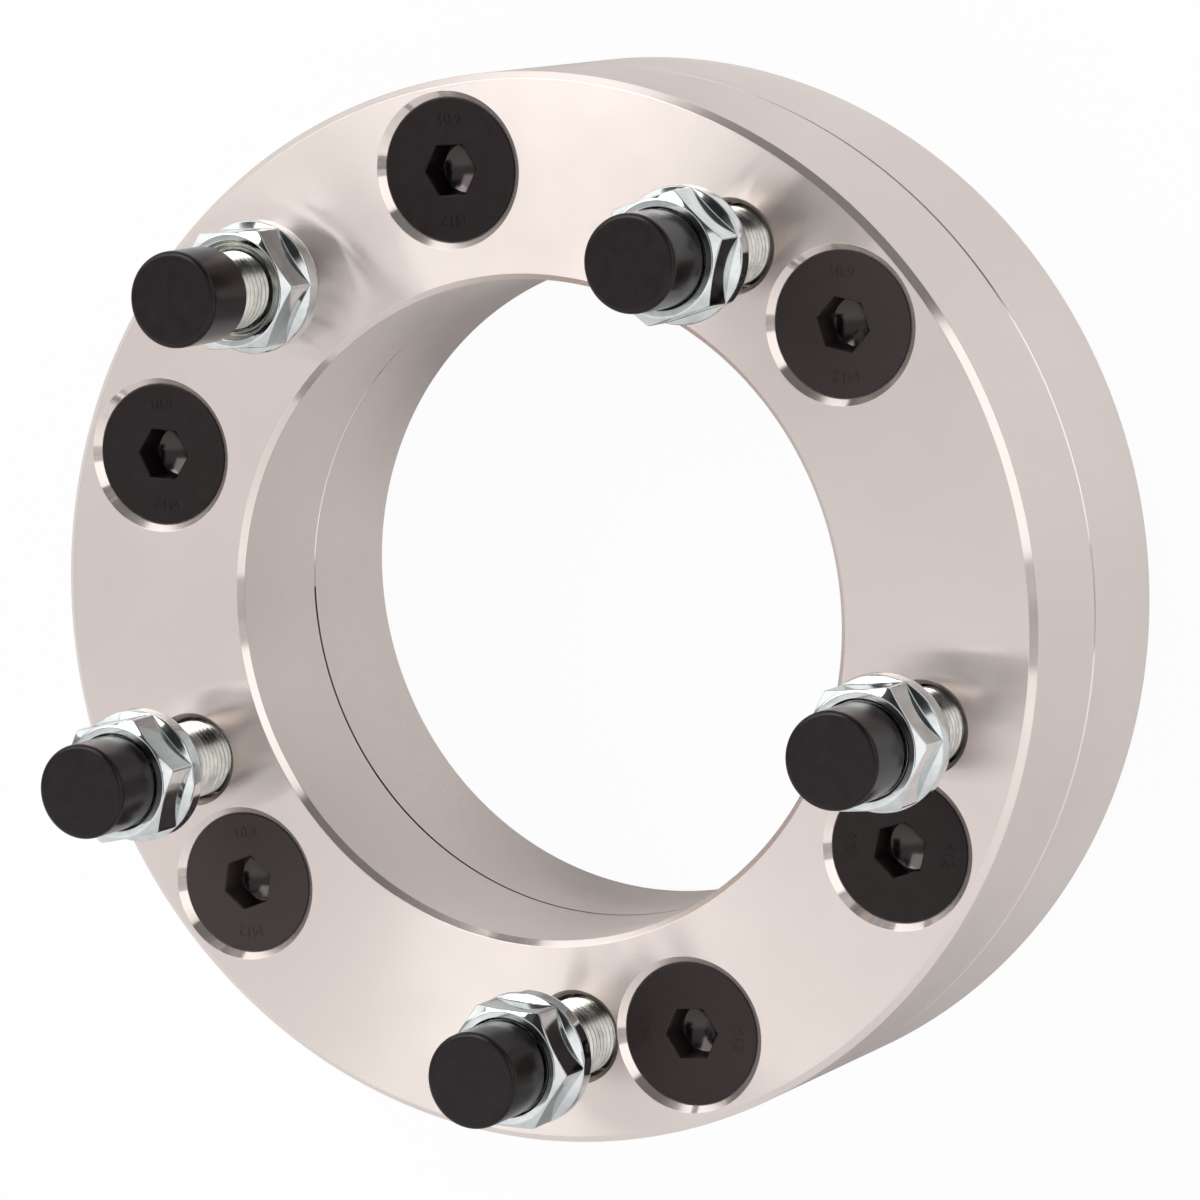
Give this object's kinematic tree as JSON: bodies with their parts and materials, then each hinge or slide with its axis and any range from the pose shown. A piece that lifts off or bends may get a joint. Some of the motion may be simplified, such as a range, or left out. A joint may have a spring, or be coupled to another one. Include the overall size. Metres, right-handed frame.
{
  "type": "wheel spacer",
  "caption": "Wheel spacer and bolt pattern adapter of screwed aluminium rings, with wheel studs, bulge nuts and plastic thread caps",
  "frame": {"origin": "Centre of the hub face, which lies on z = 0 and is the bottom of the bounding box", "axes": "+Z runs along the spacer axis from the hub face to the wheel face, with the wheel studs pointing to +Z. +Y points at the first wheel stud."},
  "size_m": [0.175, 0.175, 0.0886],
  "materials": {
    "ring_metal": "fine turned",
    "screw_steel": "black oxide",
    "stud_steel": "bright zinc, threaded",
    "nut_chrome": "polished plating",
    "cap_plastic": "satin"
  },
  "bodies": {
    "root": {"wheel_ring": "ring_metal", "hub_ring": "ring_metal", "ring_screw_1": "screw_steel", "ring_screw_2": "screw_steel", "ring_screw_3": "screw_steel", "ring_screw_4": "screw_steel", "ring_screw_5": "screw_steel", "ring_screw_6": "screw_steel", "wheel_stud_1": "stud_steel", "wheel_nut_1": "nut_chrome", "thread_cap_1": "cap_plastic", "wheel_stud_2": "stud_steel", "wheel_nut_2": "nut_chrome", "thread_cap_2": "cap_plastic", "wheel_stud_3": "stud_steel", "wheel_nut_3": "nut_chrome", "thread_cap_3": "cap_plastic", "wheel_stud_4": "stud_steel", "wheel_nut_4": "nut_chrome", "thread_cap_4": "cap_plastic", "wheel_stud_5": "stud_steel", "wheel_nut_5": "nut_chrome", "thread_cap_5": "cap_plastic"}
  },
  "joints": []
}
